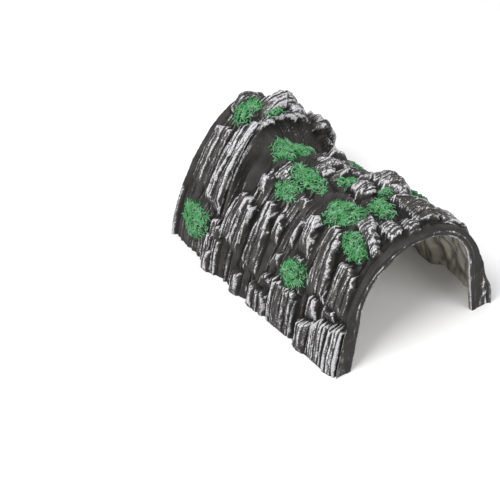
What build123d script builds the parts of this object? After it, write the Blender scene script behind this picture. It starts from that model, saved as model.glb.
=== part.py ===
"""Hollow cave tunnel ornament: one moulded rock shell with separate tufts of moss glued to its ledges.

The tunnel runs along Y. The low front portal is at -Y, the summit is towards +Y, +Z is up, and the
origin is on the ground under the middle of the shell.
"""

import os
from math import cos, pi, sin

from build123d import *

# Driving dimensions, in millimetres
HALF_LENGTH = 110.0
WALL = 4.0
FLANGE = 5.0
PORTAL_FOOT = 61.0  # half the opening's width on the ground
PORTAL_RADIUS = 54.0  # radius of the round arch, and half its width where it springs
PORTAL_SPRING = 48.0  # height at which the arch starts
FACETS = 14  # flat strips from foot to foot around one cross-section
SIDE_FULLNESS = 1.5  # below 2 the walls lean in, above 2 they stand up
BOULDER_SIDES = 5
BURIED = 3.0  # depth that each rock's back is let into the wall
TURF = 3.5  # thickness of a moss tuft
BELOW_GROUND = 2.0  # masses and cutters start this far under the flat base

# One row per cross-section: y, left reach, right reach, crown x, crown height, left and right shoulder
STATIONS = [
    (-110, 76, 77, 0, 106, 3.2, 3.0),
    (-97, 79, 80, 0, 112, 2.8, 2.6),
    (-60, 80, 82, -2, 111, 2.4, 2.0),
    (-20, 83, 82, -6, 104, 2.2, 1.7),
    (20, 86, 82, -10, 103, 2.1, 1.55),
    (48, 87, 83, -16, 109, 1.9, 1.5),
    (62, 87, 86, -18, 127, 1.7, 1.5),
    (90, 87, 86, -18, 130, 1.6, 1.6),
    (104, 86, 84, -16, 119, 1.6, 2.0),
    (110, 84, 82, -12, 112, 1.7, 2.1),
]

# Leaning rock columns and slabs. Each foot and head is (y, share of the way from left foot to right foot).
COLUMNS = {
    # name: (foot, head, width along the tunnel, how far it stands proud)
    "front_foot_block": ((-98, 0.0), (-99, 0.17), 21, 6),
    "second_foot_block": ((-73, 0.0), (-74, 0.09), 28, 9),
    "front_rib": ((-94, 0.16), (-90, 0.32), 22, 5),
    "double_rib_column": ((-69, 0.12), (-60, 0.385), 20, 7),
    "mottled_slab": ((-41, 0.26), (-36, 0.375), 14, 6),
    "striped_boulder": ((-37, 0.0), (-37, 0.16), 30, 7),
    "strata_block": ((-7, 0.0), (-8, 0.14), 24, 5),
    "middle_column": ((-14, 0.15), (-7, 0.31), 12, 4),
    "twin_column": ((8, 0.08), (7, 0.345), 18, 6),
    "tall_column": ((38, 0.12), (34, 0.3), 25, 6),
    "low_left_block": ((20, 0.0), (19, 0.08), 14, 6),
    "rear_left_block": ((50, 0.0), (50, 0.15), 18, 5),
    "buttress": ((65, 0.16), (66, 0.43), 23, 8),
    "rear_slab": ((94, 0.17), (93, 0.37), 24, 4),
    "cirque_foot_slab": ((31, 0.31), (31, 0.4), 16, 5),
    "right_foot_block": ((-97, 1.0), (-97, 0.86), 22, 5),
    "right_front_column": ((-66, 1.0), (-62, 0.72), 24, 7),
    "right_striped_slab": ((-36, 1.0), (-34, 0.8), 24, 5),
    "right_middle_column": ((10, 1.0), (8, 0.7), 22, 7),
    "right_low_block": ((36, 1.0), (35, 0.84), 20, 5),
    "right_buttress": ((60, 1.0), (61, 0.68), 20, 8),
    "right_rear_slab": ((98, 1.0), (97, 0.74), 16, 5),
}

# Free boulders on the crown and the summit
BOULDERS = {
    # name: (seat, radius, height)
    "left_peak": ((97, 0.48), 11, 5),
    "second_peak": ((76, 0.555), 12, 7),
    "summit_rim": ((66, 0.64), 12, 6),
    "front_pointed_boulder": ((-86, 0.425), 10, 8),
    "small_wedge_boulder": ((-93, 0.475), 8, 5),
    "dark_crown_boulder": ((-78, 0.57), 12, 8),
    "crest_boulder": ((-36, 0.605), 13, 15),
    "ribbed_crown": ((-86, 0.65), 14, 6),
    "saddle_boulder": ((-10, 0.61), 12, 6),
    "saddle_flat_boulder": ((4, 0.51), 9, 4),
    "cirque_foot_boulder": ((21, 0.415), 7, 6),
}

# Moss tufts: seat, length along the tunnel, width up the slope
TUFTS = {
    "moss_summit_left": ((80, 0.43), 18, 26),
    "moss_summit_notch": ((64, 0.485), 8, 15),
    "moss_cirque": ((38, 0.485), 24, 38),
    "moss_saddle_mid": ((2, 0.45), 38, 17),
    "moss_saddle_left": ((8, 0.375), 22, 19),
    "moss_ridge_small": ((-20, 0.51), 14, 18),
    "moss_rear_foot": ((84, 0.106), 30, 32),
    "moss_long_shelf": ((-50, 0.42), 32, 29),
    "moss_crown": ((-70, 0.495), 26, 17),
    "moss_crown_small": ((-55, 0.56), 11, 14),
    "moss_front_ledge": ((-83, 0.364), 30, 19),
    "moss_low_boulder": ((-39, 0.213), 28, 22),
    "moss_right_shoulder": ((-38, 0.72), 26, 20),
    "moss_right_foot": ((-12, 0.86), 18, 26),
    "moss_right_saddle": ((30, 0.76), 20, 24),
    "moss_right_front": ((-85, 0.78), 16, 18),
    "moss_right_rear": ((80, 0.84), 18, 28),
}


def station_at(y):
    """Blend the table's rows linearly to give the cross-section at any y."""
    for low, high in zip(STATIONS, STATIONS[1:]):
        if low[0] <= y <= high[0]:
            share = (y - low[0]) / (high[0] - low[0])
            return tuple(a + (b - a) * share for a, b in zip(low, high))
    raise ValueError(f"no cross-section at y = {y}")


def outline(station, grow=0.0):
    """Points (x, z) of a cross-section from left foot over the crown to right foot, grown outwards."""
    _, left, right, crown_x, height, left_shoulder, right_shoulder = station
    points = []
    for i in range(FACETS + 1):
        angle = pi * i / FACETS
        side, shoulder = (-left - crown_x, left_shoulder)
        if angle > pi / 2:
            side, shoulder = (right - crown_x, right_shoulder)
        reach = (abs(side) + grow) * abs(cos(angle)) ** (2 / shoulder)
        x = crown_x + reach * (1 if side > 0 else -1)
        z = (height + grow) * sin(angle) ** (2 / SIDE_FULLNESS)
        points.append((x, z))
    return points


def rock_mass(stations, grow):
    """Loft a closed mass through the cross-sections, down to just below the ground."""
    with BuildPart() as mass:
        for station in stations:
            arch = outline(station, grow)
            with BuildSketch(Plane.XZ.offset(-station[0])):
                with BuildLine():
                    left_foot = (arch[0][0], -BELOW_GROUND)
                    right_foot = (arch[-1][0], -BELOW_GROUND)
                    Polyline(left_foot, *arch, right_foot, close=True)
                make_face()
        loft(ruled=True)
    return mass.part


def seat(y, share):
    """Point on the rock's skin and its outward normal, at a share of the way round the section."""
    arch = [Vector(x, y, z) for x, z in outline(station_at(y))]
    lengths = [(b - a).length for a, b in zip(arch, arch[1:])]
    left_over = min(max(share, 0.0), 1.0) * sum(lengths)
    for a, b, length in zip(arch, arch[1:], lengths):
        if left_over <= length:
            break
        left_over -= length
    along = (b - a).normalized()
    return a + along * left_over, along.cross(Vector(0, 1, 0)).normalized()


def rock_column(foot, head, width, proud):
    """Loft a leaning column up the wall, narrower at its head, which is cut off at a slant."""
    middle = tuple((a + b) / 2 for a, b in zip(foot, head))
    places = [seat(*place) for place in (foot, middle, head)]
    rise = (places[2][0] - places[0][0]).normalized()
    with BuildPart() as column:
        for (point, normal), taper, slant in zip(places, (1.0, 0.92, 0.72), (0.0, 0.0, 0.5)):
            depth = BURIED + proud * taper
            centre = point + normal * (depth / 2 - BURIED)
            with BuildSketch(Plane(centre, x_dir=rise.cross(normal), z_dir=rise + normal * slant)):
                Rectangle(width * taper, depth)
        loft(ruled=True)
    return column.part


def boulder(place, radius, height):
    """Loft a blunt boulder that sits in the rock and leans a little towards the front."""
    point, normal = seat(*place)
    lean = Vector(0, -0.25, 0) * height
    with BuildPart() as stone:
        for level, size in ((-BURIED, 1.1), (height * 0.4, 0.95), (height, 0.45)):
            with BuildSketch(Plane(point + normal * level + lean * size, x_dir=(0, 1, 0), z_dir=normal)):
                RegularPolygon(radius * size, BOULDER_SIDES)
        loft(ruled=True)
    return stone.part


rocks = [rock_column(*rock) for rock in COLUMNS.values()]
rocks += [boulder(*rock) for rock in BOULDERS.values()]
turf_skin = rock_mass(STATIONS, TURF)
inner_limit = HALF_LENGTH - FLANGE
inner_rows = [row for row in STATIONS if abs(row[0]) < inner_limit]
inner_rows = [station_at(-inner_limit), *inner_rows, station_at(inner_limit)]
chamber = rock_mass(inner_rows, -WALL)

with BuildPart() as solid_rock:
    add(rock_mass(STATIONS, 0.0))
    add(rocks)
    split(bisect_by=Plane.XY, keep=Keep.TOP)

with BuildPart() as rock_shell:
    add(solid_rock.part)
    add(chamber, mode=Mode.SUBTRACT)
    for portal in (Plane.XZ.offset(HALF_LENGTH), Plane.XZ.offset(-HALF_LENGTH)):
        with BuildSketch(portal):
            with BuildLine():
                left_leg = Polyline(
                    (-PORTAL_FOOT, -BELOW_GROUND), (-PORTAL_FOOT, 0), (-PORTAL_RADIUS, PORTAL_SPRING)
                )
                right_leg = Polyline(
                    (PORTAL_RADIUS, PORTAL_SPRING), (PORTAL_FOOT, 0), (PORTAL_FOOT, -BELOW_GROUND)
                )
                ThreePointArc(left_leg @ 1, (0, PORTAL_SPRING + PORTAL_RADIUS), right_leg @ 0)
                Line(right_leg @ 1, left_leg @ 0)
            make_face()
        extrude(amount=2 * FLANGE, both=True, mode=Mode.SUBTRACT)

os.makedirs("parts", exist_ok=True)
rock_shell.part.label = "rock_shell"
export_step(rock_shell.part, "parts/rock_shell.step")

for name, (place, length, width) in TUFTS.items():
    ground, normal = seat(*place)
    with BuildPart() as tuft:
        add(turf_skin)
        with BuildSketch(Plane(ground, x_dir=(0, 1, 0), z_dir=normal)):
            Ellipse(length / 2, width / 2)
        extrude(amount=2 * TURF + WALL, both=True, mode=Mode.INTERSECT)
        add(solid_rock.part, mode=Mode.SUBTRACT)
    tuft.part.label = name
    export_step(tuft.part, f"parts/{name}.step")
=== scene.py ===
"""Looks for the hollow cave tunnel: a modelled rock skin, dry-brushed paint, and tufts of moss fibre.

Lengths are in millimetres until a mesh is made. On the rock, a place is (y, v): y along the tunnel,
v the distance up the skin from the left foot, over the crown and down to the right foot.
"""

import math

import bpy
import numpy as np
from mathutils import Matrix, Vector
from mathutils.geometry import tessellate_polygon


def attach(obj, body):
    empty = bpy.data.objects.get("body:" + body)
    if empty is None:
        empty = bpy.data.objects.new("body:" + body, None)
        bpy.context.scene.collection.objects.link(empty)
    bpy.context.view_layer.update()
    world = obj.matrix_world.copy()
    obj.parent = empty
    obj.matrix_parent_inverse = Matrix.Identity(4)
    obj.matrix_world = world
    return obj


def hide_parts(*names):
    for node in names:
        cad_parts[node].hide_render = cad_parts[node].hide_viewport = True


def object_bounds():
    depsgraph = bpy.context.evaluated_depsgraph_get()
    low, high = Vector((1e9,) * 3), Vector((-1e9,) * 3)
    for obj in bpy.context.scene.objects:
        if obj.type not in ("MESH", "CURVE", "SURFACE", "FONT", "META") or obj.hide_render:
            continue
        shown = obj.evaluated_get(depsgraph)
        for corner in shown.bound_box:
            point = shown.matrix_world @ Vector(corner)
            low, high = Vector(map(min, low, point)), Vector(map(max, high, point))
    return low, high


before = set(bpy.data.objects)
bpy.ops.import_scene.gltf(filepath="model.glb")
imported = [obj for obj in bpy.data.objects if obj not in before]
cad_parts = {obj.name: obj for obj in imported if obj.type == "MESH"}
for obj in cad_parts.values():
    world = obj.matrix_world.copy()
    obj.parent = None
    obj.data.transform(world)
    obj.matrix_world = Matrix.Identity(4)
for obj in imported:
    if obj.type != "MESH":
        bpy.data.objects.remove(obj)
cad_low, cad_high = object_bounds()

MM = 0.001
HALF_LENGTH = (cad_high.y - cad_low.y) / 2 / MM
WALL = 4.0
FLANGE = 5.5
PORTAL_FOOT = 61.0
PORTAL_RADIUS = 54.0
PORTAL_SPRING = 48.0
SIDE_FULLNESS = 1.5
FACETS = 6  # on a boulder
ROWS = 289  # along the tunnel
COLUMNS = 277  # from foot to foot; a coarse row takes every second one
FLANGE_ROWS = 22  # rows of points from the shell's edge to the portal
LIP_STRIP = 4.4  # width of the raised strip along the portal's arch
STRIP_HEIGHT = 0.7
CHAMBER_MOUTH = 0.7  # how much wider than the arch the chamber starts
LIP_PROFILE = ((1.4, 0.0), (3.4, -0.2), (FLANGE, CHAMBER_MOUTH))  # depth from the end, growth of the arch
LIP_PAINT = (0.8, -0.1, 0.1)  # paint on the rows of that profile: the brush catches the portal's edge
INTO_CHAMBER = (0.0, 0.35, 0.7)  # rows that lead from the lip to the chamber's wall
FLANGE_SHADE = 0.34  # painted shade on the flange's face: how dark it is made, as in a crevice
ROCK_ROOT = 7.0  # how far below its foot height the outline of a fluted rock starts
HEAD_STEP = 5.0  # how unevenly the ribs of a column end at its head
SMOOTHED = 1.8  # how far the cross-sections blend into each other
FINE_STEP, FINE_REACH = 0.5, 20  # spacing at which they are blended, and steps to each side
RIM = 3.6  # least width of the rock round a portal
THIN_WALL = 2.2  # least wall aimed at round the chamber
CELL_Y, CELL_ANGLE = 2.0, math.radians(1.5)  # grid on which the wall's thickness is kept

# y, left reach, right reach, crown x, crown height, left and right shoulder
STATIONS = np.array([
    (-110, 76, 77, 0, 106, 3.2, 3.0),
    (-97, 79, 80, 0, 112, 2.8, 2.6),
    (-60, 80, 85, -2, 111, 2.4, 2.0),
    (-20, 83, 86, -6, 104, 2.2, 1.7),
    (20, 86, 82, -10, 103, 2.1, 1.55),
    (52, 87, 77, -16, 107, 1.9, 1.5),
    (57, 87, 74, -18, 126, 1.7, 2.15),
    (90, 87, 83, -18, 130, 1.6, 1.85),
    (104, 86, 84, -16, 119, 1.6, 2.0),
    (110, 84, 82, -12, 112, 1.7, 2.1),
])

# Rocks, as convex outlines of (y, v). The first two points are the foot; v below 0 runs into the ground.
# name: (height at the foot, height at the head, flute spacing, outline), heights over the large form
FLUTED_ROCKS = {
    "rear_wall_slab": (-3, -0.5, 6, [(108, 48), (81, 56), (79, 124), (92, 119), (106, 112)]),
    "rear_knob": (-2, 0.5, 5, [(97, 74), (84, 76), (85, 90), (94, 92)]),
    "buttress": (0, 2, 7, [(79, 52), (57, 50), (58, 110), (60, 141), (66, 141), (77, 126)]),
    "buttress_edge": (1.5, 3.5, 4, [(62, 56), (57, 54), (58, 112), (60, 143), (65, 142)]),
    "cluster_back": (-3, 0, 6, [(66, -10), (46, -10), (45, 49), (52, 52), (64, 47)]),
    "cluster_rear": (0, 1.5, 5, [(64, -10), (55, -10), (54, 35), (63, 38)]),
    "cluster_front": (0, 1.5, 5, [(54, -10), (44, -10), (44, 38), (53, 39)]),
    "cluster_step": (3, 3, 6, [(63, -10), (50, -10), (51, 20), (61, 21)]),
    "tall_column": (-2, 4, 7, [(52, 30), (27, 26), (22, 80), (29, 85), (46, 84), (51, 76)]),
    "tall_column_rib": (1, 5.5, 5, [(39, 54), (31, 54), (30, 84), (38, 85)]),
    "low_left_block": (1.5, 2.5, 5, [(27, -10), (12, -10), (14, 22), (24, 21)]),
    "low_left_rib": (-2, 1, 4, [(18, 18), (11, 18), (12, 42), (16, 42)]),
    "twin_column": (-2, 4.5, 6, [(20, 22), (-2, 20), (0, 76), (6, 92), (14, 94), (19, 86)]),
    "twin_column_step": (-2, 3, 5, [(2, 56), (-10, 58), (-9, 84), (-6, 89), (1, 90)]),
    "small_mottled_slab": (-3, 1, 5, [(-2, 92), (-14, 94), (-14, 112), (-9, 117), (-3, 114)]),
    "thin_rib": (-2, 1, 4, [(-19, 62), (-26, 62), (-25, 98), (-20, 98)]),
    "strata_block": (1, 2.5, 8, [(7, -10), (-20, -10), (-17, 20), (-3, 25), (2, 22)]),
    "strata_flake": (-1, 2, 5, [(0, 16), (-20, 22), (-19, 40), (-8, 38)]),
    "strata_spur": (-2, 1, 5, [(-6, 38), (-20, 42), (-19, 66), (-11, 62)]),
    "striped_boulder": (0, 4.5, 7, [(-20, -10), (-53, -10), (-52, 40), (-43, 46), (-31, 47), (-21, 42)]),
    "mottled_slab": (-2, 6, 7, [(-29, 66), (-49, 60), (-45, 94), (-38, 108), (-30, 109), (-25, 101)]),
    "double_rib_column": (
        0, 6, 8, [(-55, 46), (-79, 46), (-74, 84), (-67, 106), (-62, 113), (-56, 112), (-51, 100)]
    ),
    "front_rib": (0, 4, 7, [(-78, 46), (-106, 46), (-104, 80), (-96, 94), (-87, 96), (-76, 94)]),
    "foot_block_inner": (3.5, 5, 6, [(-56, -10), (-73, -10), (-72, 33), (-57, 26)]),
    "foot_block_middle": (1.5, 3, 5, [(-71, -10), (-95, -10), (-94, 42), (-84, 41), (-72, 35)]),
    "foot_block_front": (2.5, 4, 6, [(-92, -10), (-108, -10), (-108, 47), (-100, 48), (-93, 42)]),
    "foot_upper_shard": (0, 3, 5, [(-60, 26), (-75, 28), (-74, 52), (-64, 56)]),
    "foot_upper_block": (0, 3, 6, [(-77, 34), (-96, 38), (-94, 54), (-80, 54)]),
    "second_peak_ridge": (0, 6, 6, [(78, 142), (62, 148), (68, 177), (80, 186), (89, 180)]),
    "ribbed_crown": (0, 3, 4, [(-68, 188), (-101, 180), (-103, 208), (-88, 216), (-70, 212)]),
    "saddle_ridge": (-2, 3, 4, [(-1, 136), (-15, 132), (-18, 142), (-6, 162), (2, 160)]),
    "cirque_foot_slab": (-3, 2.5, 4, [(42, 82), (24, 82), (27, 107), (33, 112), (41, 108)]),
}
# name: (height at the rim, height at the top, grain spacing, outline)
BOULDERS = {
    "boulder_back_stone": (-3, 0.5, 6, [(-24, 42), (-54, 42), (-53, 62), (-42, 73), (-32, 72), (-25, 58)]),
    "front_pointed_boulder": (-2, 6, 5, [(-66, 118), (-102, 108), (-106, 116), (-80, 137), (-66, 139)]),
    "small_wedge_boulder": (-2, 3, 6, [(-80, 130), (-103, 128), (-103, 142), (-96, 148), (-82, 147)]),
    "rim_boulder": (-2, 3, 6, [(-89, 144), (-107, 143), (-107, 157), (-99, 164), (-87, 158)]),
    "dark_crown_boulder": (-1, 5, 9, [(-60, 159), (-98, 158), (-100, 183), (-80, 192), (-61, 186)]),
    "crest_boulder": (1, 13, 7, [(-14, 160), (-48, 160), (-60, 178), (-52, 198), (-18, 194)]),
    "crest_foot": (-2, 4, 6, [(-22, 144), (-40, 138), (-48, 152), (-42, 168), (-24, 165)]),
    "shoulder_block": (-3, 3, 6, [(-82, 206), (-108, 203), (-108, 229), (-86, 234)]),
    "saddle_flat_boulder": (-3, 2, 8, [(14, 134), (-4, 134), (-5, 151), (3, 157), (13, 154)]),
    "cirque_foot_boulder": (-4, 2, 8, [(32, 109), (13, 108), (12, 125), (21, 133), (31, 130)]),
    "cirque_spur": (-4, 1, 6, [(28, 152), (10, 150), (8, 174), (18, 181), (28, 174)]),
    "left_peak": (-6, 3, 10, [(110, 126), (88, 130), (83, 148), (87, 168), (109, 172)]),
    "second_peak": (-5, 4.5, 7, [(97, 167), (72, 169), (67, 184), (73, 202), (95, 201)]),
    "summit_rubble": (-3, 1, 6, [(78, 180), (62, 178), (63, 200), (76, 206)]),
    "saddle_right_boulder": (-3, 2, 7, [(14, 174), (-18, 168), (-20, 198), (-6, 208), (14, 204)]),
    "saddle_far_boulder": (-4, 1, 7, [(46, 174), (20, 176), (18, 204), (30, 212), (46, 206)]),
}
CROWN_V = 126.0  # rocks with their feet below this are repeated, turned half round, on the right wall

# Gentle dips and swells of the whole skin: y, v, reach along y, reach along v, height
SWELLS = [
    (45, 96, 9, 30, -4), (64, 230, 14, 34, -3.5), (74, 284, 32, 30, -8), (102, 196, 14, 30, -8),
    (99, 170, 16, 7, -7), (-14, 122, 16, 13, -1), (-108, 240, 24, 26, -0.5), (-108, 292, 10, 22, 3),
    (98, 228, 14, 26, -5), (-84, 285, 18, 44, 5), (-30, 272, 22, 40, -5),
]

# The cliff below the summit: its edge along y, how far it drops, and where it runs along v
CLIFF_EDGE, CLIFF_DROP, CLIFF_START, CLIFF_END = 56.5, 6.0, 140.0, 262.0
CLIFF_CORNER, CLIFF_RETREAT = 214.0, 10.0  # where the edge starts to swing back, and how far it goes

# Parts of the skin with little relief: y, v, reach along y, reach along v
CALM = [
    (-24, 120, 11, 15), (-107, 130, 8, 60), (-106, 205, 7, 60), (48, 160, 9, 60), (43, 106, 7, 30),
    (36, 140, 16, 22), (98, 36, 12, 40), (51, 192, 7, 30), (61, 222, 7, 34),
]

# More or less dry-brushed paint: y, v, reach along y, reach along v, amount
PAINT = [
    (68, 98, 11, 36, 0.3), (-66, 24, 6, 12, 0.3), (-101, 24, 9, 26, 0.45), (-82, 20, 12, 22, 0.1),
    (92, 142, 16, 22, 0.3), (80, 200, 14, 12, 0.45), (-68, 84, 12, 34, -0.15), (-40, 104, 10, 12, 0.45),
    (-86, 128, 20, 11, 0.4), (-93, 145, 9, 8, 0.3), (66, 160, 8, 18, 0.5), (70, 182, 14, 16, 0.4),
    (-38, 170, 16, 22, 0.4), (-8, 146, 10, 13, 0.55), (-88, 198, 18, 16, 0.2), (58, 108, 4, 34, 0.3),
    (22, 119, 9, 10, 0.35), (32, 98, 9, 12, 0.3), (2, 146, 9, 9, 0.3), (72, 188, 8, 12, 0.3),
    (52, 118, 5, 30, -0.6), (53, 206, 6, 22, -0.5), (58, 209, 8, 14, -1), (56, 154, 4, 16, 0.6),
    (61, 136, 4, 16, 0.6), (51, 192, 7, 26, -0.4), (64, 216, 10, 13, -0.6), (-107, 249, 6, 20, -0.4),
    (4, 52, 12, 16, -0.7), (-99, 64, 6, 10, -0.6), (7, 26, 6, 14, -0.4), (-53, 52, 5, 8, -0.5),
    (-92, 74, 15, 22, -0.35), (22, 28, 8, 14, -0.35), (-10, 24, 13, 14, -0.55), (46, 29, 8, 16, -0.5),
    (-63, 107, 8, 8, -0.6), (-49, 8, 8, 14, -0.8), (-68, 4, 10, 8, -0.5), (67, 152, 7, 8, 0.8),
    (60, 122, 4, 26, 0.3), (76, 172, 9, 12, 0.4), (-25, 148, 9, 8, 0.5), (-86, 172, 8, 7, 0.7),
    (-75, 38, 8, 10, 0.8), (81, 16, 8, 12, 0.6), (28, 161, 12, 9, 1.1), (-4, 96, 8, 8, 0.8),
    (-14, 103, 6, 8, 0.4), (-54, 100, 6, 8, 0.4), (42, 83, 9, 7, 0.3), (-87, 120, 8, 9, -0.5),
    (25, 27, 8, 14, -0.9), (36, 190, 9, 9, -0.7), (62, 70, 6, 8, -0.4), (-101, 159, 6, 8, -0.4),
    (-74, 78, 8, 14, -0.5), (33, 98, 8, 14, 0.5), (-21, 182, 10, 10, 0.8), (64, 180, 6, 9, 0.3),
    (-11, 131, 8, 7, 0.3), (44, 104, 7, 32, -0.5), (-24, 122, 11, 16, -0.6), (-80, 172, 20, 13, -0.6),
    (20, 48, 13, 24, -0.4), (-54, 44, 6, 34, -0.7), (-21, 40, 3, 34, -0.5), (-36, 24, 16, 26, -0.15),
    (92, 80, 14, 34, -0.15), (-12, 58, 12, 26, -0.2), (-108, 130, 6, 90, -0.5), (-108, 210, 6, 50, -0.5),
    (-90, 76, 12, 20, -0.3), (98, 30, 12, 40, -0.2),
]

# Moss: CAD node, y, v, reach along y, reach along v, turn in degrees
MOSS = [
    ("moss_summit_left", 80, 141, 8.5, 14, 0), ("moss_summit_notch", 61, 157, 3.5, 7.5, 0),
    ("moss_cirque", 38, 140, 12, 19, 0), ("moss_saddle_mid", 3, 127.5, 20, 8.5, 0),
    ("moss_saddle_left", 8, 108, 12, 9.5, -15), ("moss_ridge_small", -20, 147, 7, 9, 0),
    ("moss_rear_foot", 81, 36, 16.5, 16.5, -38), ("moss_long_shelf", -49, 120, 20, 12, -35),
    ("moss_crown", -69, 146, 13, 8.5, 0), ("moss_crown_small", -53, 163, 5, 6.5, 0),
    ("moss_front_ledge", -81, 109, 15, 9.5, 10), ("moss_low_boulder", -39, 58, 15, 11, -15),
]
# Moss on the far wall, where v is measured from the right foot
MOSS_RIGHT = [
    ("moss_right_shoulder", -38, 76, 14, 10, 10), ("moss_right_foot", -12, 40, 10, 14, 0),
    ("moss_right_saddle", 30, 69, 10, 12, 0), ("moss_right_front", -85, 66, 8, 9, 0),
    ("moss_right_rear", 80, 45, 10, 14, 20),
]
LEDGE = -0.5  # height of the rock under a tuft
MOSS_THICKNESS = 1.7
FIBRES_PER_MM2 = 0.62
FIBRE_LENGTH = 5.2
FIBRE_RADIUS = 0.40
FIBRE_STEPS = 6
FIBRE_SIDES = 4
PER_FIBRE = FIBRE_STEPS * FIBRE_SIDES  # points
RINGS, SPOKES = 12, 44  # of points on a cushion
MOSS_ROOT = -1.6  # height of the middle of a cushion's underside, inside the rock


# ---- noise and fields

def hashed(ix, iy, seed):
    """A repeatable number from 0 to 1 for each whole-number pair."""
    mask = np.uint64(0xFFFFFFFF)
    a = ix.astype(np.int64).astype(np.uint64) * np.uint64(374761393)
    b = iy.astype(np.int64).astype(np.uint64) * np.uint64(668265263)
    h = (a + b + np.uint64(seed * 974711 + 12289)) & mask
    h = ((h ^ (h >> np.uint64(13))) * np.uint64(1274126177)) & mask
    h = ((h ^ (h >> np.uint64(15))) * np.uint64(2246822519)) & mask
    return ((h ^ (h >> np.uint64(16))) & np.uint64(0xFFFFF)).astype(float) / 0xFFFFF


def noise(u, v, seed):
    """Gradient noise, about -1 to 1."""
    iu, iv = np.floor(u), np.floor(v)
    fu, fv = u - iu, v - iv
    su, sv = fu * fu * (3 - 2 * fu), fv * fv * (3 - 2 * fv)
    total = np.zeros_like(fu)
    for du in (0, 1):
        for dv in (0, 1):
            angle = 2 * math.pi * hashed(iu + du, iv + dv, seed)
            slope = np.cos(angle) * (fu - du) + np.sin(angle) * (fv - dv)
            total += slope * (su if du else 1 - su) * (sv if dv else 1 - sv)
    return total * 1.5


def cells(u, v, seed):
    """For each point: how far it is inside its cell, the cell's random number, and its offsets in it."""
    iu, iv = np.floor(u), np.floor(v)
    nearest, second = np.full(u.shape, 9.0), np.full(u.shape, 9.0)
    number, off_u, off_v = np.zeros_like(u), np.zeros_like(u), np.zeros_like(u)
    for du in (-1, 0, 1):
        for dv in (-1, 0, 1):
            cu, cv = iu + du, iv + dv
            to_u = u - cu - 0.1 - 0.8 * hashed(cu, cv, seed)
            to_v = v - cv - 0.1 - 0.8 * hashed(cu, cv, seed + 1)
            away = np.hypot(to_u, to_v)
            closer = away < nearest
            second = np.where(closer, nearest, np.minimum(second, away))
            number = np.where(closer, hashed(cu, cv, seed + 2), number)
            off_u, off_v = np.where(closer, to_u, off_u), np.where(closer, to_v, off_v)
            nearest = np.where(closer, away, nearest)
    return second - nearest, number, off_u, off_v


def step(value, low, high):
    """0 below low, 1 above high, and smooth between."""
    t = np.clip((value - low) / (high - low), 0, 1)
    return t * t * (3 - 2 * t)


def blur(field, sigma):
    """Gaussian blur of a 2-D field, sigma in grid steps."""
    reach = int(math.ceil(2.5 * sigma))
    weights = np.exp(-0.5 * (np.arange(-reach, reach + 1) / sigma) ** 2)
    weights /= weights.sum()
    for axis in (0, 1):
        edges = [(reach, reach) if a == axis else (0, 0) for a in range(field.ndim)]
        padded = np.pad(field, edges, mode="edge")
        size = field.shape[axis]
        field = sum(w * np.take(padded, range(k, k + size), axis) for k, w in enumerate(weights))
    return field


def spots(places, y, v):
    """Sum of soft-edged ellipses, each (y, v, reach along y, reach along v[, amount])."""
    total = np.zeros_like(y)
    for cy, cv, ry, rv, *amount in places:
        away = np.hypot((y - cy) / ry, (v - cv) / rv)
        total += (amount[0] if amount else 1.0) * (1 - step(away, 0.6, 1.4))
    return total


# ---- the large form

def resample(x, z, count):
    """Evenly spaced points along an outline, and its length."""
    along = np.concatenate([[0], np.cumsum(np.hypot(np.diff(x), np.diff(z)))])
    wanted = np.linspace(0, along[-1], count)
    return np.interp(wanted, along, x), np.interp(wanted, along, z), along[-1]


def skin(rows_y):
    """Points of the large form, one row per y, and each row's length from foot to foot."""
    fine_y = np.arange(-HALF_LENGTH, HALF_LENGTH + FINE_STEP, FINE_STEP)
    angle = np.linspace(0, math.pi, 1201)
    left_side = angle < math.pi / 2
    kernel = np.exp(-0.5 * (np.arange(-FINE_REACH, FINE_REACH + 1) * FINE_STEP / SMOOTHED) ** 2)
    kernel /= kernel.sum()
    values = []
    for column in range(1, 7):
        raw = np.interp(fine_y, STATIONS[:, 0], STATIONS[:, column])
        padded = np.pad(raw, FINE_REACH, mode="reflect", reflect_type="odd")
        smooth = np.convolve(padded, kernel, "valid")
        values.append(np.interp(rows_y, fine_y, smooth))
    points, lengths = np.zeros((len(rows_y), COLUMNS, 3)), np.zeros(len(rows_y))
    for i, (left, right, crown_x, height, left_power, right_power) in enumerate(zip(*values)):
        reach = np.where(left_side, -left - crown_x, right - crown_x)
        power = np.where(left_side, left_power, right_power)
        x = crown_x + reach * np.abs(np.cos(angle)) ** (2 / power)
        z = height * np.sin(angle) ** (2 / SIDE_FULLNESS)
        points[i, :, 0], points[i, :, 2], lengths[i] = resample(x, z, COLUMNS)
        points[i, :, 1] = rows_y[i]
    return points, lengths


def normals_of(points):
    """Outward unit normals of the grid of points."""
    normal = np.cross(np.gradient(points, axis=1), np.gradient(points, axis=0))
    normal = np.stack([blur(normal[..., k], 3.0) for k in range(3)], axis=-1)
    return normal / np.linalg.norm(normal, axis=-1, keepdims=True)


def portal_row(y, count, grow):
    """The portal's arch at y, grown outwards, from left foot to right foot."""
    angle = np.linspace(0, math.pi, 121)
    x = np.concatenate([[-PORTAL_FOOT - grow], -(PORTAL_RADIUS + grow) * np.cos(angle), [PORTAL_FOOT + grow]])
    z = np.concatenate([[0], PORTAL_SPRING + (PORTAL_RADIUS + grow) * np.sin(angle), [0]])
    x, z, _ = resample(x, z, count)
    return np.stack([x, np.full(count, float(y)), z], axis=-1)


def polar(points):
    """Angle from the right foot, and distance, round the tunnel's middle line on the ground."""
    return np.arctan2(points[..., 2], points[..., 0]), np.hypot(points[..., 0], points[..., 2])


def at_reach(points, angle, reach):
    """The points moved straight in or out to a new distance from the middle line."""
    return np.stack([reach * np.cos(angle), points[..., 1], reach * np.sin(angle)], axis=-1)


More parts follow.
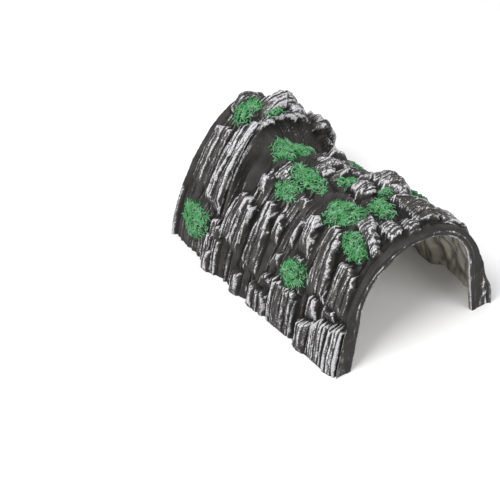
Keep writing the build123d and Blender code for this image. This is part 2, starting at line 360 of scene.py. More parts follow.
def clear_of_portal(points):
    """Near each end, keep the outside a rim's width outside the portal's arch."""
    arch_angle, arch_reach = polar(portal_row(0, 721, RIM))
    angle, reach = polar(points)
    least = np.interp(angle, arch_angle[::-1], arch_reach[::-1])
    needed = 1 - step(HALF_LENGTH - np.abs(points[..., 1]), 3, 9)
    return at_reach(points, angle, reach + needed * np.maximum(least - reach, 0))


def within(points, outside, gap):
    """Pull points in, where needed, to leave a wall inside the outside surface."""
    angle, reach = polar(outside)
    rows = int(2 * HALF_LENGTH / CELL_Y) + 1
    columns = int(math.pi / CELL_ANGLE) + 1
    nearest = np.full((rows, columns), 999.0)
    row = np.clip((outside[..., 1] + HALF_LENGTH) / CELL_Y, 0, rows - 1).round().astype(int)
    column = np.clip(angle / CELL_ANGLE, 0, columns - 1).round().astype(int)
    np.minimum.at(nearest, (row, column), reach)
    for axis in (0, 1):
        padded = np.pad(nearest, [(2, 2) if a == axis else (0, 0) for a in (0, 1)], mode="edge")
        nearest = np.min([np.take(padded, range(k, k + nearest.shape[axis]), axis) for k in range(5)], axis=0)
    nearest = blur(nearest, 1.0)
    angle, reach = polar(points)
    place = np.clip((points[..., 1] + HALF_LENGTH) / CELL_Y, 0, rows - 1.001)
    turn = np.clip(angle / CELL_ANGLE, 0, columns - 1.001)
    i, j = place.astype(int), turn.astype(int)
    a, b = place - i, turn - j
    limit = (nearest[i, j] * (1 - b) + nearest[i, j + 1] * b) * (1 - a)
    limit += (nearest[i + 1, j] * (1 - b) + nearest[i + 1, j + 1] * b) * a
    return at_reach(points, angle, np.minimum(reach, limit - gap))


rows_y = np.linspace(-HALF_LENGTH, HALF_LENGTH, ROWS)
form, lengths = skin(rows_y)
form_normal = normals_of(form)
Y = np.repeat(rows_y[:, None], COLUMNS, axis=1)
V = np.linspace(0, 1, COLUMNS)[None, :] * lengths[:, None]
FROM_RIGHT = lengths[:, None] - V


# ---- rock relief

def flutes(across, along, spacing, seed):
    """Splintered columns side by side: their lift from 0 to 1, and how near each point is to a crack."""
    wander = noise(along / (5 * spacing), across / (6 * spacing), seed)
    place = across / spacing + 0.2 * wander
    number = np.floor(place)
    zero = np.zeros_like(number)

    def border(n):
        return n + 0.6 * (hashed(n, zero, seed) - 0.5)

    number = np.where(place < border(number), number - 1, number)
    number = np.where(place >= border(number + 1), number + 1, number)
    before, after = place - border(number), border(number + 1) - place
    share = before / (before + after)
    peak = 0.25 + 0.5 * hashed(number, zero, seed + 1)
    ridge = np.where(share < peak, share / peak, (1 - share) / (1 - peak))
    stretch = spacing * (2.5 + 4 * hashed(number, zero, seed + 2))
    piece = np.floor(along / stretch + 5 * hashed(number, zero, seed + 3))
    lift = 0.40 * hashed(number, zero, seed + 4) + 0.12 * hashed(number, piece, seed + 5)
    lift += 0.48 * np.clip(ridge, 0, 1)
    crack = np.exp(-((np.minimum(before, after) * spacing / 0.7) ** 2))
    return lift, crack


def fluted(across, along, spacing, seed):
    """Coarse flutes with finer ones on them, in millimetres, 0 at the highest."""
    lift, crack = flutes(across, along, spacing, seed)
    fine_lift, fine_crack = flutes(across, along, 0.42 * spacing, seed + 20)
    mixed = np.clip(0.5 + 1.1 * noise(across / 8, along / 12, seed + 40), 0, 1.2)
    rise = 0.55 * spacing * (lift - 1) + 0.16 * spacing * (fine_lift - 1) * mixed
    return rise - 0.22 * spacing * crack - 0.05 * spacing * fine_crack * mixed


def outline_depth(corners, y, v):
    """How far each point is inside each side of a convex outline."""
    centre = corners.mean(axis=0)
    for a, b in zip(corners, np.roll(corners, -1, axis=0)):
        edge = (b - a) / np.linalg.norm(b - a)
        out = np.array([edge[1], -edge[0]])
        out *= 1 if out @ (centre - a) < 0 else -1
        yield -((y - a[0]) * out[0] + (v - a[1]) * out[1])


def chance(seed, number):
    """One repeatable random number from 0 to 1."""
    return float(hashed(np.array([seed]), np.array([number]), 6)[0])


def fluted_rock(rock, y, v, seed):
    """Height of a bundle of splintered columns over the form, and the distance inside its outline."""
    foot_height, head_height, spacing, outline = rock
    corners = np.array(outline, float)
    foot, head = corners[:2].mean(axis=0), corners[2:].mean(axis=0)
    reach = np.linalg.norm(head - foot)
    axis = (head - foot) / reach
    along = (y - foot[0]) * axis[0] + (v - foot[1]) * axis[1]
    across = (y - foot[0]) * axis[1] - (v - foot[1]) * axis[0]
    rib = np.floor(across / (0.55 * spacing) + chance(seed, 30))
    ragged = 0.5 * noise(across / 2.5, along / 12, seed + 60)
    stepped = HEAD_STEP * (hashed(rib, np.zeros_like(rib), seed + 61) - 0.6)
    inside = np.full(y.shape, 99.0)
    bevel = np.full(y.shape, 99.0)
    last_side = len(corners) - 1
    for side, depth in enumerate(outline_depth(corners, y, v)):
        at_head = 1 < side < last_side
        slope = 0.5 if side == 0 else (2.6 if at_head else 1.8) + 1.8 * chance(seed, side)
        depth = depth + ragged + (stepped if at_head else 0)
        inside = np.minimum(inside, depth)
        bevel = np.minimum(bevel, slope * depth)
    half_width = 0.5 * np.linalg.norm(corners[1] - corners[0]) + 1
    rounding = 1.8 * np.clip(np.abs(across) / half_width, 0, 1.2) ** 2
    lean = 0.12 * (chance(seed, 9) - 0.5) * across
    face = foot_height + (head_height - foot_height) * np.clip(along / reach, 0, 1.15) - rounding + lean
    face += 0.9 + fluted(across, along, spacing, seed)
    return np.minimum(face, foot_height - ROCK_ROOT + bevel), inside


def boulder(rock, y, v, seed):
    """Height of a faceted boulder over the form, and the distance inside its outline."""
    rim_height, top_height, spacing, outline = rock
    corners = np.array(outline, float)
    centre = corners.mean(axis=0) + (2 * chance(seed, 7) - 1, 2 * chance(seed, 8) - 1)
    ragged = 0.8 * noise(y / 4, v / 4, seed + 60)
    inside = np.full(y.shape, 99.0)
    for depth in outline_depth(corners, y, v):
        inside = np.minimum(inside, depth + ragged)
    face = np.full(y.shape, float(top_height))
    rise = top_height - rim_height
    for facet in range(FACETS):
        angle = 2 * math.pi * (facet + 0.7 * chance(seed, facet)) / FACETS
        way = np.array([math.cos(angle), math.sin(angle)])
        reach = ((corners - centre) @ way).max() * (0.8 + 0.4 * chance(seed, facet + 20))
        share = ((y - centre[0]) * way[0] + (v - centre[1]) * way[1]) / reach
        face = np.minimum(face, top_height + 0.12 * rise - rise * share)
    crack, number, off_u, off_v = cells(y / 7, v / 8, seed + 62)
    face += 0.9 * number + 1.0 * off_u * (number - 0.5) - 0.9 * np.exp(-crack / 0.07)
    face += 0.35 * fluted(y, v, spacing, seed) + 0.5 * noise(y / 5, v / 6, seed + 63)
    return np.minimum(face, rim_height - 5 + 2.2 * inside), inside


def wall_relief():
    """Height of the whole skin over the large form, without and with its finest grain."""
    y = Y + 0.7 * noise(Y / 14, V / 34, 1) + 0.18 * noise(Y / 3, V / 9, 2)
    v = V + 1.5 * noise(Y / 10, V / 14, 3) + 0.5 * noise(Y / 3, V / 3, 4)
    on_wall = step(np.abs(V - 0.5 * lengths[:, None]), 18, 34)
    crack, number, off_y, off_v = cells(y / 11, v / 14, 11)
    crown = 3.0 * number + off_y * (number - 0.5) * 4 + off_v * 1.8 - 1.6 * np.exp(-crack / 0.10)
    crack, number, off_y, off_v = cells(y / 5, v / 6, 21)
    crown += 1.0 * number + off_v * 0.7 - 0.7 * np.exp(-crack / 0.12) - 7.0
    wall = fluted(y, v, 8.0, 31) - 3.2
    calm = np.clip(spots(CALM, Y, V), 0, 1)
    relief = (crown + (wall - crown) * on_wall) * (1 - 0.6 * calm) - 2.4 * calm
    raised = np.zeros_like(relief)
    right_v = FROM_RIGHT + (v - V)
    turned = {name: rock for name, rock in FLUTED_ROCKS.items() if rock[3][0][1] < CROWN_V}
    groups = [
        (FLUTED_ROCKS, y, v, 100, fluted_rock), (BOULDERS, y, v, 900, boulder),
        (turned, -y, right_v, 1700, fluted_rock),
    ]
    for rocks, wall_y, wall_v, first_seed, shape in groups:
        for number, rock in enumerate(rocks.values()):
            corners = np.array(rock[3], float)
            low, high = corners.min(axis=0) - 4, corners.max(axis=0) + 4
            near = (wall_y > low[0]) & (wall_y < high[0]) & (wall_v > low[1]) & (wall_v < high[1])
            height, inside = shape(rock, wall_y[near], wall_v[near], first_seed + 11 * number)
            wins = (inside > 0) & (height > relief[near])
            relief[near] = np.where(wins, height, relief[near])
            raised[near] = np.where(wins, 1.0, raised[near])
    ledges = spots([tuft[1:5] for tuft in MOSS], Y, V)
    ledges += spots([tuft[1:5] for tuft in MOSS_RIGHT], Y, FROM_RIGHT)
    relief += np.clip(ledges, 0, 1) * np.maximum(LEDGE - relief, 0)
    relief += 0.15 * noise(Y / 2.6, V / 9, 50)
    low_down = 1 - step(np.minimum(V, FROM_RIGHT), 1, 9)
    relief += 0.75 * low_down * (np.maximum(blur(relief, 6.0), relief) - relief)
    grain = 0.24 * noise(Y / 1.9, V / 4.2, 51) + 0.20 * noise(Y / 1.0, V / 1.7, 52)
    return relief, grain, blur(raised, 1.0)


def cliff():
    """The cliff below the summit: its streaked drop, its paint with painted shade on its face, and where its
    face is.
    """
    swing = np.clip((V - CLIFF_CORNER) / (CLIFF_END - CLIFF_CORNER), 0, 1)
    edge = CLIFF_EDGE + CLIFF_RETREAT * swing ** 1.4
    ragged = 1.3 * noise(Y * 0, V / 8, 91) + 0.5 * noise(Y * 0, V / 2.6, 92)
    edge += ragged * step(V, CLIFF_START, CLIFF_START + 12)
    below = edge - Y
    along = step(V, CLIFF_START - 16, CLIFF_START + 8) * (1 - step(V, CLIFF_END - 30, CLIFF_END + 14))
    face = step(below, 0, 2.0) * (1 - step(below, 6, 26)) * along
    streaks = (1 - 2 * np.abs(noise(Y / 60, V / 4.5, 93))) + 0.5 * noise(Y / 60, V / 1.8, 94)
    fringe = np.exp(-(((below + 0.8) / 1.1) ** 2)) * along * (1 - step(V, 190, 215))
    drips = step(noise(Y * 0, V / 2.2, 98), 0.55, 0.9) * (1 - step(below, 4, 8)) * step(V, 160, 170)
    # the band of the cliff's face below its edge that gets painted shade
    shade = step(below, 0.5, 2) * (1 - step(below, 14, 22)) * along
    flute_paint = 0.45 * step(streaks, 0.5, 1.2) * step(V, 178, 196) * face
    # painted shade darkens that band a little, except on the drips of paint
    paint = 0.9 * fringe + (0.7 * drips - 0.12) * shade + flute_paint
    return face * (2.2 * streaks - CLIFF_DROP), paint, face


def fade_at_ends(relief):
    """Let the relief die away into the smooth band round each portal, except at the rocky feet."""
    foot = np.maximum(1 - step(V, 46, 58), 1 - step(FROM_RIGHT, 40, 52))
    band = 2.0 + np.where(Y < 0, 9.0, 4.0) * (1 - foot)
    from_end = HALF_LENGTH - np.abs(Y)
    kept = step(from_end, 0.2, band)
    return relief * kept + 0.5 * (1 - kept) * noise(Y / 9, V / 12, 61)


clean_relief, grain, raised = wall_relief()
cliff_relief, cliff_paint, cliff_face = cliff()
clean_relief = np.clip(fade_at_ends(clean_relief), -10, 16) + spots(SWELLS, Y, V) + cliff_relief
relief = clean_relief + grain
outer = form + form_normal * relief[..., None]
outer[..., 2] = np.maximum(outer[..., 2], 0)
outer[:, [0, -1], 2] = 0
outer = clear_of_portal(outer)

folds = 1 - 2.4 * np.abs(noise(Y / 9, V / 36, 71))
inner_lift = np.minimum(blur(relief, 4.0), blur(relief, 1.6)) - WALL
inner_lift += 1.8 * folds + 0.7 * noise(Y / 4, V / 7, 72)
inner_lift = np.minimum(inner_lift, relief - 2.4)
inner = form + form_normal * inner_lift[..., None]
inner[..., 1] = Y
inner[..., 2] = np.maximum(inner[..., 2], 0)
inner[:, [0, -1], 2] = 0
inner = within(inner, outer, THIN_WALL)


# ---- paint

def brushed_amount():
    """How much pale paint the brush leaves: on ribs, edges and tops, and more on some rocks."""
    fine = np.clip((clean_relief - blur(clean_relief, 1.0)) / 0.55, -1, 1)
    padded = np.pad(clean_relief, ((1, 1), (0, 0)), mode="edge")
    beside = 0.5 * (padded[2:] + padded[:-2])  # mean of the neighbours along the tunnel
    arris = np.clip((clean_relief - beside) / 0.4, -1, 1)
    broad = np.clip((clean_relief - blur(clean_relief, 4.0)) / 3.0, -1, 1)
    rising = np.gradient(blur(clean_relief, 0.8), axis=1)
    rising = np.where(V < FROM_RIGHT, -rising, rising)
    top_edge = np.clip(rising / 1.2, 0, 1)
    streaks = noise(Y / 2.4, V / 13, 82)
    patches = noise(Y / 11, V / 17, 81)
    amount = 0.42 * fine + 0.48 * arris + 0.12 * broad + 0.10 * top_edge + 0.12 * streaks + 0.16 * patches
    amount += 0.3 * grain - 0.13
    amount += 0.40 * spots(PAINT, Y, V) + 0.34 * (raised - 1) + cliff_paint
    from_end = HALF_LENGTH - np.abs(Y)
    return np.clip(amount - 0.35 * (1 - step(from_end, 1, 8)) * step(V, 44, 60), -1, 1.2)


def crevice_amount():
    """Painted shade in the crevices: how deep a point lies between its neighbours."""
    depth = 0.30 * (blur(relief, 2.5) - relief) + 0.16 * (blur(relief, 7.0) - relief)
    return np.clip(depth, 0, 1) * (1 - 0.6 * blur(cliff_face, 2.0))


# ---- the shell's mesh

def from_arch(row):
    """How far outside the portal's arch each point of a flange's face lies."""
    above = row[:, 2] - PORTAL_SPRING
    spread = (PORTAL_FOOT - PORTAL_RADIUS) / PORTAL_SPRING
    return np.hypot(row[:, 0], np.maximum(above, 0)) - PORTAL_RADIUS + spread * np.minimum(above, 0)


def flange_rows(edge, y, inwards):
    """Rows across a flange's face, from the shell's edge to the portal, closer together at the portal."""
    arch = portal_row(y, len(edge), 0.6)
    sway = noise(edge[:, 0] / 14 + y, edge[:, 2] / 14, 91) * 0.8
    rows = []
    for share in 1 - np.linspace(1, 0, FLANGE_ROWS)[1:-1] ** 1.5:
        row = edge + (arch - edge) * share
        raised_strip = STRIP_HEIGHT * (1 - step(from_arch(row), LIP_STRIP - 0.4, LIP_STRIP + 0.5))
        row[:, 1] = y + inwards * (1.0 + sway + 0.36 * (1 - math.sin(math.pi * share)) - raised_strip)
        rows.append(row)
    arch[:, 1] += inwards * STRIP_HEIGHT
    rows.append(arch)
    return rows


def rounded_lip(y, inwards, count):
    """Rows from the flange's face along the portal's lip, in to its inner edge."""
    return [portal_row(y + inwards * depth, count, grow) for depth, grow in LIP_PROFILE]


def flange_paint(row):
    """Paint on a flange's face: little, but more low down on its rocky feet and at the portal's edge."""
    feet = (1 - step(row[:, 2], 30, 44)) * step(np.abs(row[:, 0]), PORTAL_FOOT + 6, PORTAL_FOOT + 9)
    away = from_arch(row)
    worn = (0.7 + 0.5 * noise(row[:, 0] / 7, row[:, 2] / 7, 99)) * (0.5 + 0.5 * step(row[:, 2], 25, 60))
    lines = worn * (np.exp(-(((away - 0.9) / 0.5) ** 2)) + np.exp(-(((away - LIP_STRIP) / 0.5) ** 2)))
    wisps = 0.35 * noise(row[:, 0] / 2, row[:, 2] / 12, 98)
    return -0.35 + lines + wisps + feet * (0.5 + 0.6 * noise(row[:, 0] / 2.5, row[:, 2] / 9, 96))


class Grid:
    """Rows of points joined into quads, where a row may have half the points of its neighbour."""

    def __init__(self):
        self.points, self.faces, self.rows, self.values = [], [], [], []
        self.count = 0

    def add_row(self, row, **values):
        """Add a row, with its values on its points; inside is 0 outside and 1 in the chamber."""
        start = self.count
        values["along"] = np.linspace(0, 300, len(row))
        self.count += len(row)
        self.points.append(row)
        self.rows.append(range(start, self.count))
        self.values.append({k: np.broadcast_to(v, len(row)) for k, v in values.items()})

    def join(self, a, b):
        """Faces between two rows, wound so that they face outwards."""
        if len(a) == len(b):
            self.faces += [(a[j], a[j + 1], b[j + 1], b[j]) for j in range(len(a) - 1)]
            return
        fine, coarse, winding = (a, b, 1) if len(a) > len(b) else (b, a, -1)
        for j in range(len(coarse) - 1):
            low, middle, high = fine[2 * j:2 * j + 3]
            near, far = coarse[j:j + 2]
            for triangle in ((low, middle, near), (middle, far, near), (middle, high, far)):
                self.faces.append(triangle[::winding])

    def close(self):
        """Join every row to the next, the last to the first, and cap both feet."""
        for a, b in zip(self.rows, self.rows[1:] + self.rows[:1]):
            self.join(a, b)
        points = np.concatenate(self.points)
        for end in (0, -1):
            rim = [row[end] for row in self.rows]
            flat = [Vector((points[i][0], points[i][1], 0)) for i in rim]
            for triangle in tessellate_polygon([flat]):
                self.faces.append(tuple(rim[k] for k in triangle))
        return points


def new_object(name, points, faces, material, values):
    """A mesh object from millimetre points, with a number on every point for each named value."""
    mesh = bpy.data.meshes.new(name)
    mesh.from_pydata((np.asarray(points) * MM).tolist(), [], faces)
    mesh.update()
    for key, numbers in values.items():
        layer = mesh.attributes.new(key, "FLOAT", "POINT")
        layer.data.foreach_set("value", np.asarray(numbers, np.float32))
    mesh.polygons.foreach_set("use_smooth", [True] * len(mesh.polygons))
    mesh.materials.append(material)
    obj = bpy.data.objects.new(name, mesh)
    bpy.context.scene.collection.objects.link(obj)
    return obj


def portal_rows(edge, y, inwards, chamber_row):
    """Rows, with their paint and painted shade, from the shell's edge over the flange and the lip to the
    chamber's wall.
    """
    rows = []
    for row in flange_rows(edge, y, inwards):
        # the flange's face gets a fixed amount of painted shade
        rows.append((row, {"inside": 0.0, "brushed": flange_paint(row), "crevice": FLANGE_SHADE}))
    for row, paint in zip(rounded_lip(y, inwards, COLUMNS), LIP_PAINT):
        paint = paint + 0.2 * noise(row[:, 0] / 5, row[:, 2] / 5, 97)
        rows.append((row, {"inside": 0.3, "brushed": paint, "crevice": 0.0}))
    mouth = portal_row(y + inwards * FLANGE, len(chamber_row), CHAMBER_MOUTH)
    for share in INTO_CHAMBER:
        row = mouth + (chamber_row - mouth) * share
        # the rows into the chamber get a little painted shade
        rows.append((row, {"inside": 1.0, "brushed": -0.3, "crevice": 0.2}))
    return rows


def build_shell(material):
    """The whole hollow rock as one mesh: outside, flanges, lips, inside and flat feet.

    It is not watertight: a few edges at the feet stay open, the right foot faces up, and the
    lip at y = +HALF_LENGTH comes slightly through the outside on the right.
    """
    # painted shade in the crevices of the outside
    brushed, crevice = brushed_amount(), crevice_amount()
    chamber = [i for i in range(0, ROWS, 3) if abs(rows_y[i]) < HALF_LENGTH - FLANGE]
    grid = Grid()
    for i in range(ROWS):
        grid.add_row(outer[i], inside=0.0, brushed=brushed[i], crevice=crevice[i])
    for row, values in portal_rows(outer[-1], HALF_LENGTH, -1, inner[chamber[-1], ::2]):
        grid.add_row(row, **values)
    for i in reversed(chamber):
        bumps = 0.3 * noise(Y[i, ::2] / 3, V[i, ::2] / 5, 95) - 0.35 * folds[i, ::2]
        # painted shade in the chamber's folds
        grid.add_row(inner[i, ::2], inside=1.0, brushed=bumps, crevice=np.clip(0.45 * folds[i, ::2], 0, 1))
    for row, values in reversed(portal_rows(outer[0], -HALF_LENGTH, 1, inner[chamber[0], ::2])):
        grid.add_row(row, **values)
    points = grid.close()
    names = ("brushed", "crevice", "inside", "along")
    values = {name: np.concatenate([row[name] for row in grid.values]) for name in names}
    return new_object("rock_skin", points, grid.faces, material, values)


# ---- moss

SEAT = np.maximum(relief, blur(relief, 2.5))


def on_rock(y, v, lift):
    """Point and normal at (y, v) on the rock, raised by lift."""
    row = np.clip((y + HALF_LENGTH) / (2 * HALF_LENGTH) * (ROWS - 1), 0, ROWS - 1.001)
    length = np.interp(y, rows_y, lengths)
    column = np.clip(v / length * (COLUMNS - 1), 0, COLUMNS - 1.001)
    i, j = row.astype(int), column.astype(int)
    a, b = (row - i)[..., None], (column - j)[..., None]

    def sample(field):
        low = field[i, j] * (1 - b) + field[i, j + 1] * b
        high = field[i + 1, j] * (1 - b) + field[i + 1, j + 1] * b
        return low * (1 - a) + high * a

    normal = sample(form_normal)
    normal /= np.linalg.norm(normal, axis=-1, keepdims=True)
    seat = sample(SEAT[..., None])
    return sample(form) + normal * (seat + lift[..., None]), normal


def cushion(place, height, angle, ragged, centre):
    """Points and faces of a closed cushion: rings of points, its top and the middle of its underside."""
    points, faces = [], []
    for radius in np.linspace(0, 1, RINGS + 1)[1:]:
        y, v = place(radius, angle, ragged)
        points.append(on_rock(y, v, height(np.full(SPOKES, radius), y, v))[0])
    points.append(on_rock(*centre, height(np.zeros(1), *centre))[0])
    points.append(on_rock(*centre, np.array([MOSS_ROOT]))[0])
    top, bottom, last = RINGS * SPOKES, RINGS * SPOKES + 1, (RINGS - 1) * SPOKES
    for a in range(0, last, SPOKES):
        for k in range(SPOKES):
            n = (k + 1) % SPOKES
            faces.append((a + k, a + SPOKES + k, a + SPOKES + n, a + n))
    for k in range(SPOKES):
        n = (k + 1) % SPOKES
        faces.append((top, k, n))
        faces.append((bottom, last + n, last + k))
    return np.concatenate(points), faces


def strands(random, root, up, heading, turned):
    """Middle lines of curled fibres, a row of points for each, laid out along heading plus turned."""
    count = len(root)
    side = np.cross(up, [0.0, 1.0, 0.0])
    side /= np.linalg.norm(side, axis=1, keepdims=True)
    ahead = np.cross(up, side)
    heading = heading + random.normal(0, 0.55, count) + turned
    curl = random.uniform(0.1, 0.75, count) * random.choice([-1, 1], count)
    pitch = random.uniform(0.25, 0.8, count)
    droop = 2 * pitch / (FIBRE_STEPS - 2)
    stride = FIBRE_LENGTH * random.uniform(0.6, 1.25, count) / (FIBRE_STEPS - 1)
    strand, here = [root], root
    for _ in range(FIBRE_STEPS - 1):
        level = np.cos(heading)[:, None] * side + np.sin(heading)[:, None] * ahead
        forward = np.cos(pitch)[:, None] * level + np.sin(pitch)[:, None] * up
        here = here + forward * stride[:, None]
        strand.append(here)
        heading, pitch = heading + curl, pitch - droop
    return np.stack(strand, axis=1)


FIBRE_PROFILE = np.sin(math.pi * np.linspace(0.1, 0.9, FIBRE_STEPS))  # thin at both ends


def fibre_points(strand, up):
    """Points of the tubes round the strands, a ring at each step."""
    forward = np.gradient(strand, axis=1)
    forward /= np.linalg.norm(forward, axis=2, keepdims=True)
    across = np.cross(forward, up[:, None, :])
    across /= np.linalg.norm(across, axis=2, keepdims=True) + 1e-9
    over = np.cross(across, forward)
    thick = FIBRE_RADIUS * np.sqrt(FIBRE_PROFILE)[None, :, None]
    lines = []
    for k in range(FIBRE_SIDES):
        a = 2 * math.pi * k / FIBRE_SIDES + math.pi / 2
        lines.append(strand + thick * (math.cos(a) * across + math.sin(a) * over))
    return np.stack(lines, axis=2).reshape(-1, 3)


def fibre_faces(first, count):
    """Faces of the closed tubes, whose points are numbered from first."""
    faces = []
    for base in range(first, first + count * PER_FIBRE, PER_FIBRE):
        for s in range(FIBRE_STEPS - 1):
            a, b = base + s * FIBRE_SIDES, base + (s + 1) * FIBRE_SIDES
            for k in range(FIBRE_SIDES):
                n = (k + 1) % FIBRE_SIDES
                faces.append((a + k, a + n, b + n, b + k))
        faces.append(tuple(reversed(range(base, base + FIBRE_SIDES))))
        faces.append(tuple(range(base + PER_FIBRE - FIBRE_SIDES, base + PER_FIBRE)))
    return faces


def moss_tuft(name, y, v, reach_y, reach_v, turn, material, seed):
    """A mound of matted fibre: a lumpy closed cushion with curled fibres standing out of it."""
    random = np.random.default_rng(seed)
    angle = np.linspace(0, 2 * math.pi, SPOKES, endpoint=False)
    ragged = 1 + 0.20 * noise(np.cos(angle) * 1.4 + seed, np.sin(angle) * 1.4, seed)
    ragged += 0.12 * noise(np.cos(angle) * 4 + seed, np.sin(angle) * 4, seed + 1)
    tilt = math.radians(turn)

    def place(radius, around, outline):
        a, b = radius * outline * reach_y * np.cos(around), radius * outline * reach_v * np.sin(around)
        return y + a * math.cos(tilt) - b * math.sin(tilt), v + a * math.sin(tilt) + b * math.cos(tilt)

    def height(radius, py, pv):
        lump = 0.75 + 0.35 * noise(py / 4, pv / 4, seed + 2) + 0.3 * noise(py / 1.6, pv / 1.6, seed + 3)
        return MOSS_THICKNESS * np.sqrt(np.clip(1 - radius ** 2, 0, 1)) * lump - 0.3

    centre = np.array([float(y)]), np.array([float(v)])
    points, faces = cushion(place, height, angle, ragged, centre)
    count = int(FIBRES_PER_MM2 * math.pi * reach_y * reach_v)
    radius = np.sqrt(random.uniform(0, 1, count)) * 0.97
    around = random.uniform(0, 2 * math.pi, count)
    py, pv = place(radius, around, np.interp(around, angle, ragged, period=2 * math.pi))
    root, up = on_rock(py, pv, height(radius, py, pv) - 0.2)
    strand = strands(random, root, up, 2.6 * noise(py / 9, pv / 9, seed + 4), seed)
    faces += fibre_faces(len(points), count)
    fibre_tip = np.tile(np.repeat(0.3 + 0.7 * FIBRE_PROFILE, FIBRE_SIDES), count)
    fibre_shade = np.repeat(random.uniform(0, 1, count), PER_FIBRE)
    values = {
        "tip": np.concatenate([np.full(len(points), 0.12), fibre_tip]),
        "shade": np.concatenate([np.full(len(points), 0.3), fibre_shade]),
    }
    points = np.concatenate([points, fibre_points(strand, up)])
    tuft = new_object(name + "_fibre", points, faces, material, values)
    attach(tuft, "root")
    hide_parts(name)


# ---- materials

def srgb(red, green, blue):
    """A 0-255 screen colour as linear values with alpha."""
    def channel(value):
        c = value / 255
        return c / 12.92 if c <= 0.04045 else ((c + 0.055) / 1.055) ** 2.4
    return channel(red), channel(green), channel(blue), 1.0


class Nodes:
    """Short ways to add and link shader nodes."""

    def __init__(self, name):
        self.material = bpy.data.materials.new(name)
        self.material.use_nodes = True
        self.tree = self.material.node_tree
        self.shader = self.tree.nodes["Principled BSDF"]

    def add(self, kind):
        return self.tree.nodes.new("ShaderNode" + kind)

    def link(self, source, socket):
        """Feed a socket from another node's output, or set it to a constant."""
        if isinstance(source, (int, float, tuple)):
            socket.default_value = source
        else:
            self.tree.links.new(source, socket)

    def value(self, name):
        node = self.add("Attribute")
        node.attribute_name = name
        return node.outputs["Fac"]

    def texture(self, place, scale, detail):
        """Noise read at a place vector."""
        node = self.add("TexNoise")
        node.inputs["Scale"].default_value = scale
        node.inputs["Detail"].default_value = detail
        self.link(place, node.inputs["Vector"])
        return node.outputs["Fac"]

    def noise(self, size_mm, detail):
        return self.texture(self.add("TexCoord").outputs["Object"], 1 / (size_mm * MM), detail)

    def streaks(self, across_mm, along_mm, detail):
        """Noise drawn out down the fall line: across is measured along the tunnel, along up the skin."""
        split, join = self.add("SeparateXYZ"), self.add("CombineXYZ")
        self.link(self.add("TexCoord").outputs["Object"], split.inputs[0])
        self.link(self.math("MULTIPLY", split.outputs["Y"], 1 / (across_mm * MM)), join.inputs["X"])
        self.link(self.math("MULTIPLY", self.value("along"), 1 / along_mm), join.inputs["Y"])
        return self.texture(join.outputs[0], 1.0, detail)

    def math(self, operation, a, b):
        node = self.add("Math")
        node.operation = operation
        for socket, source in zip(node.inputs, (a, b)):
            self.link(source, socket)
        return node.outputs[0]

    def remap(self, source, low, high, to_low=0.0, to_high=1.0):
        node = self.add("MapRange")
        node.interpolation_type = "SMOOTHSTEP"
        for key, number in (("From Min", low), ("From Max", high), ("To Min", to_low), ("To Max", to_high)):
            node.inputs[key].default_value = number
        self.link(source, node.inputs["Value"])
        return node.outputs["Result"]

    def mix(self, share, a, b):
        node = self.add("Mix")
        node.data_type = "RGBA"
        for key, source in (("Factor", share), (6, a), (7, b)):
            self.link(source, node.inputs[key])
        return node.outputs[2]

    def bump(self, height, distance_mm, strength):
        node = self.add("Bump")
        node.inputs["Strength"].default_value = strength
        node.inputs["Distance"].default_value = distance_mm * MM
        self.link(height, node.inputs["Height"])
        self.link(node.outputs["Normal"], self.shader.inputs["Normal"])


def rock_material():
    """Charcoal cast resin, dry-brushed pale grey on its ribs, with painted shade in the cracks; browner
    inside, and made paler there as painted light.
    """
    n = Nodes("dry_brushed_rock")
    n.shader.inputs["Specular IOR Level"].default_value = 0.3
    mottle = n.noise(14, 3)
    speckle = n.noise(1.1, 4)
    streak = n.streaks(0.9, 8, 3)
    charcoal = n.mix(n.remap(mottle, 0.35, 0.65), srgb(40, 39, 38), srgb(56, 54, 52))
    # the chamber's own browner colour, made paler than it is as painted light, since little light reaches in
    inside_brown_with_painted_light = n.mix(n.remap(mottle, 0.3, 0.7), srgb(150, 145, 132), srgb(190, 184, 172))
    body = n.mix(n.value("inside"), charcoal, inside_brown_with_painted_light)
    # painted shade: crevices, the flange and the chamber's folds are mixed towards near-black
    body = n.mix(n.remap(n.value("crevice"), 0.05, 0.6), body, srgb(24, 23, 22))
    paint = n.mix(n.remap(speckle, 0.3, 0.7), srgb(150, 149, 152), srgb(212, 211, 214))
    breakup = n.math("ADD", n.remap(speckle, 0.3, 0.7, -0.24, 0.24), n.remap(streak, 0.3, 0.7, -0.22, 0.22))
    amount = n.math("ADD", n.value("brushed"), breakup)
    wash = n.mix(n.remap(amount, -0.15, 0.45, 0.0, 0.34), body, srgb(150, 148, 148))
    n.link(n.mix(n.remap(amount, 0.28, 0.68), wash, paint), n.shader.inputs["Base Color"])
    n.link(n.remap(speckle, 0.2, 0.8, 0.60, 0.88), n.shader.inputs["Roughness"])
    n.bump(n.math("ADD", speckle, streak), 0.6, 0.7)
    return n.material


def moss_material():
    """Matted green fibre: dark between the strands, mid green, with paler backs."""
    n = Nodes("matted_moss")
    n.shader.inputs["Roughness"].default_value = 0.8
    n.shader.inputs["Specular IOR Level"].default_value = 0.25
    patch = n.noise(7, 2)
    strand = n.mix(n.value("shade"), srgb(52, 108, 66), srgb(128, 180, 138))
    strand = n.mix(n.remap(patch, 0.4, 0.65, 0.0, 0.6), strand, srgb(54, 140, 72))
    n.link(n.mix(n.remap(n.value("tip"), 0.0, 0.8), srgb(20, 44, 26), strand), n.shader.inputs["Base Color"])
    n.bump(n.noise(0.6, 2), 0.2, 0.4)
    return n.material


def floor_material():
    """Plain pale floor."""
    n = Nodes("pale_floor")
    n.shader.inputs["Base Color"].default_value = (0.92, 0.92, 0.92, 1)
    n.shader.inputs["Roughness"].default_value = 0.9
    return n.material


# ---- pieces

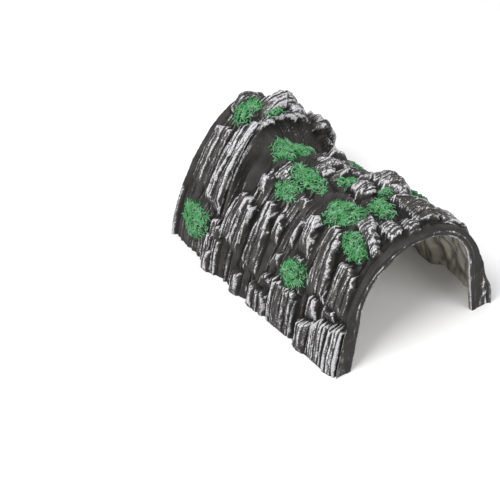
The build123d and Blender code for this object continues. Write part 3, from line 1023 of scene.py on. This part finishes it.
shell = build_shell(rock_material())
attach(shell, "root")
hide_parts("rock_shell")

moss = moss_material()
for number, (name, y, v, *rest) in enumerate(MOSS):
    moss_tuft(name, y, v, *rest, moss, 40 + number)
for number, (name, y, v, *rest) in enumerate(MOSS_RIGHT):
    moss_tuft(name, y, float(np.interp(y, rows_y, lengths)) - v, *rest, moss, 70 + number)


# ---- floor, lights and camera

FLOOR_SIZE = 6.0
floor_mesh = bpy.data.meshes.new("floor")
half_floor = FLOOR_SIZE / 2
corners = [(x * half_floor, y * half_floor, 0) for x, y in ((-1, -1), (1, -1), (1, 1), (-1, 1))]
floor_mesh.from_pydata(corners, [], [(0, 1, 2, 3)])
floor_mesh.materials.append(floor_material())
floor = bpy.data.objects.new("floor", floor_mesh)
bpy.context.scene.collection.objects.link(floor)

scene = bpy.context.scene
scene.view_settings.view_transform = "Standard"
world = bpy.data.worlds.new("studio")
world.use_nodes = True
world.node_tree.nodes["Background"].inputs["Color"].default_value = (1, 1, 1, 1)
world.node_tree.nodes["Background"].inputs["Strength"].default_value = 0.62
scene.world = world

LAMP_AIM_HEIGHT = 0.06


def outwards(azimuth, elevation):
    """Unit vector away from the object, azimuth 0 in front of it."""
    a, e = math.radians(azimuth), math.radians(elevation)
    return Vector((math.sin(a) * math.cos(e), -math.cos(a) * math.cos(e), math.sin(e)))


def softbox(name, azimuth, elevation, distance, size, power):
    """A square area light aimed at the middle of the object."""
    back = outwards(azimuth, elevation)
    light = bpy.data.lights.new(name, "AREA")
    light.size, light.energy = size, power
    lamp = bpy.data.objects.new(name, light)
    lamp.location = Vector((0, 0, LAMP_AIM_HEIGHT)) + back * distance
    lamp.rotation_euler = back.to_track_quat("Z", "Y").to_euler()
    scene.collection.objects.link(lamp)


softbox("key_softbox", -75, 55, 1.2, 0.55, 13.0)
softbox("fill_softbox", 15, 28, 1.4, 0.8, 7.0)

# The camera looks from the front left, high up; its aim is beside and above the middle of the base.
AZIMUTH, ELEVATION, DISTANCE, LENS = -35.0, 40.35, 1.549, 135.0
AIM_RIGHT, AIM_UP = -0.0657, 0.0137
back = outwards(AZIMUTH, ELEVATION)
right = Vector((math.cos(math.radians(AZIMUTH)), math.sin(math.radians(AZIMUTH)), 0))
up = back.cross(right)
camera = bpy.data.objects.new("camera", bpy.data.cameras.new("camera"))
camera.data.lens = LENS
camera.data.sensor_width = 36.0
camera.data.clip_start = 0.05
place = right * AIM_RIGHT + up * AIM_UP + back * DISTANCE
camera.matrix_world = Matrix.Translation(place) @ Matrix((right, up, back)).transposed().to_4x4()
scene.collection.objects.link(camera)
scene.camera = camera
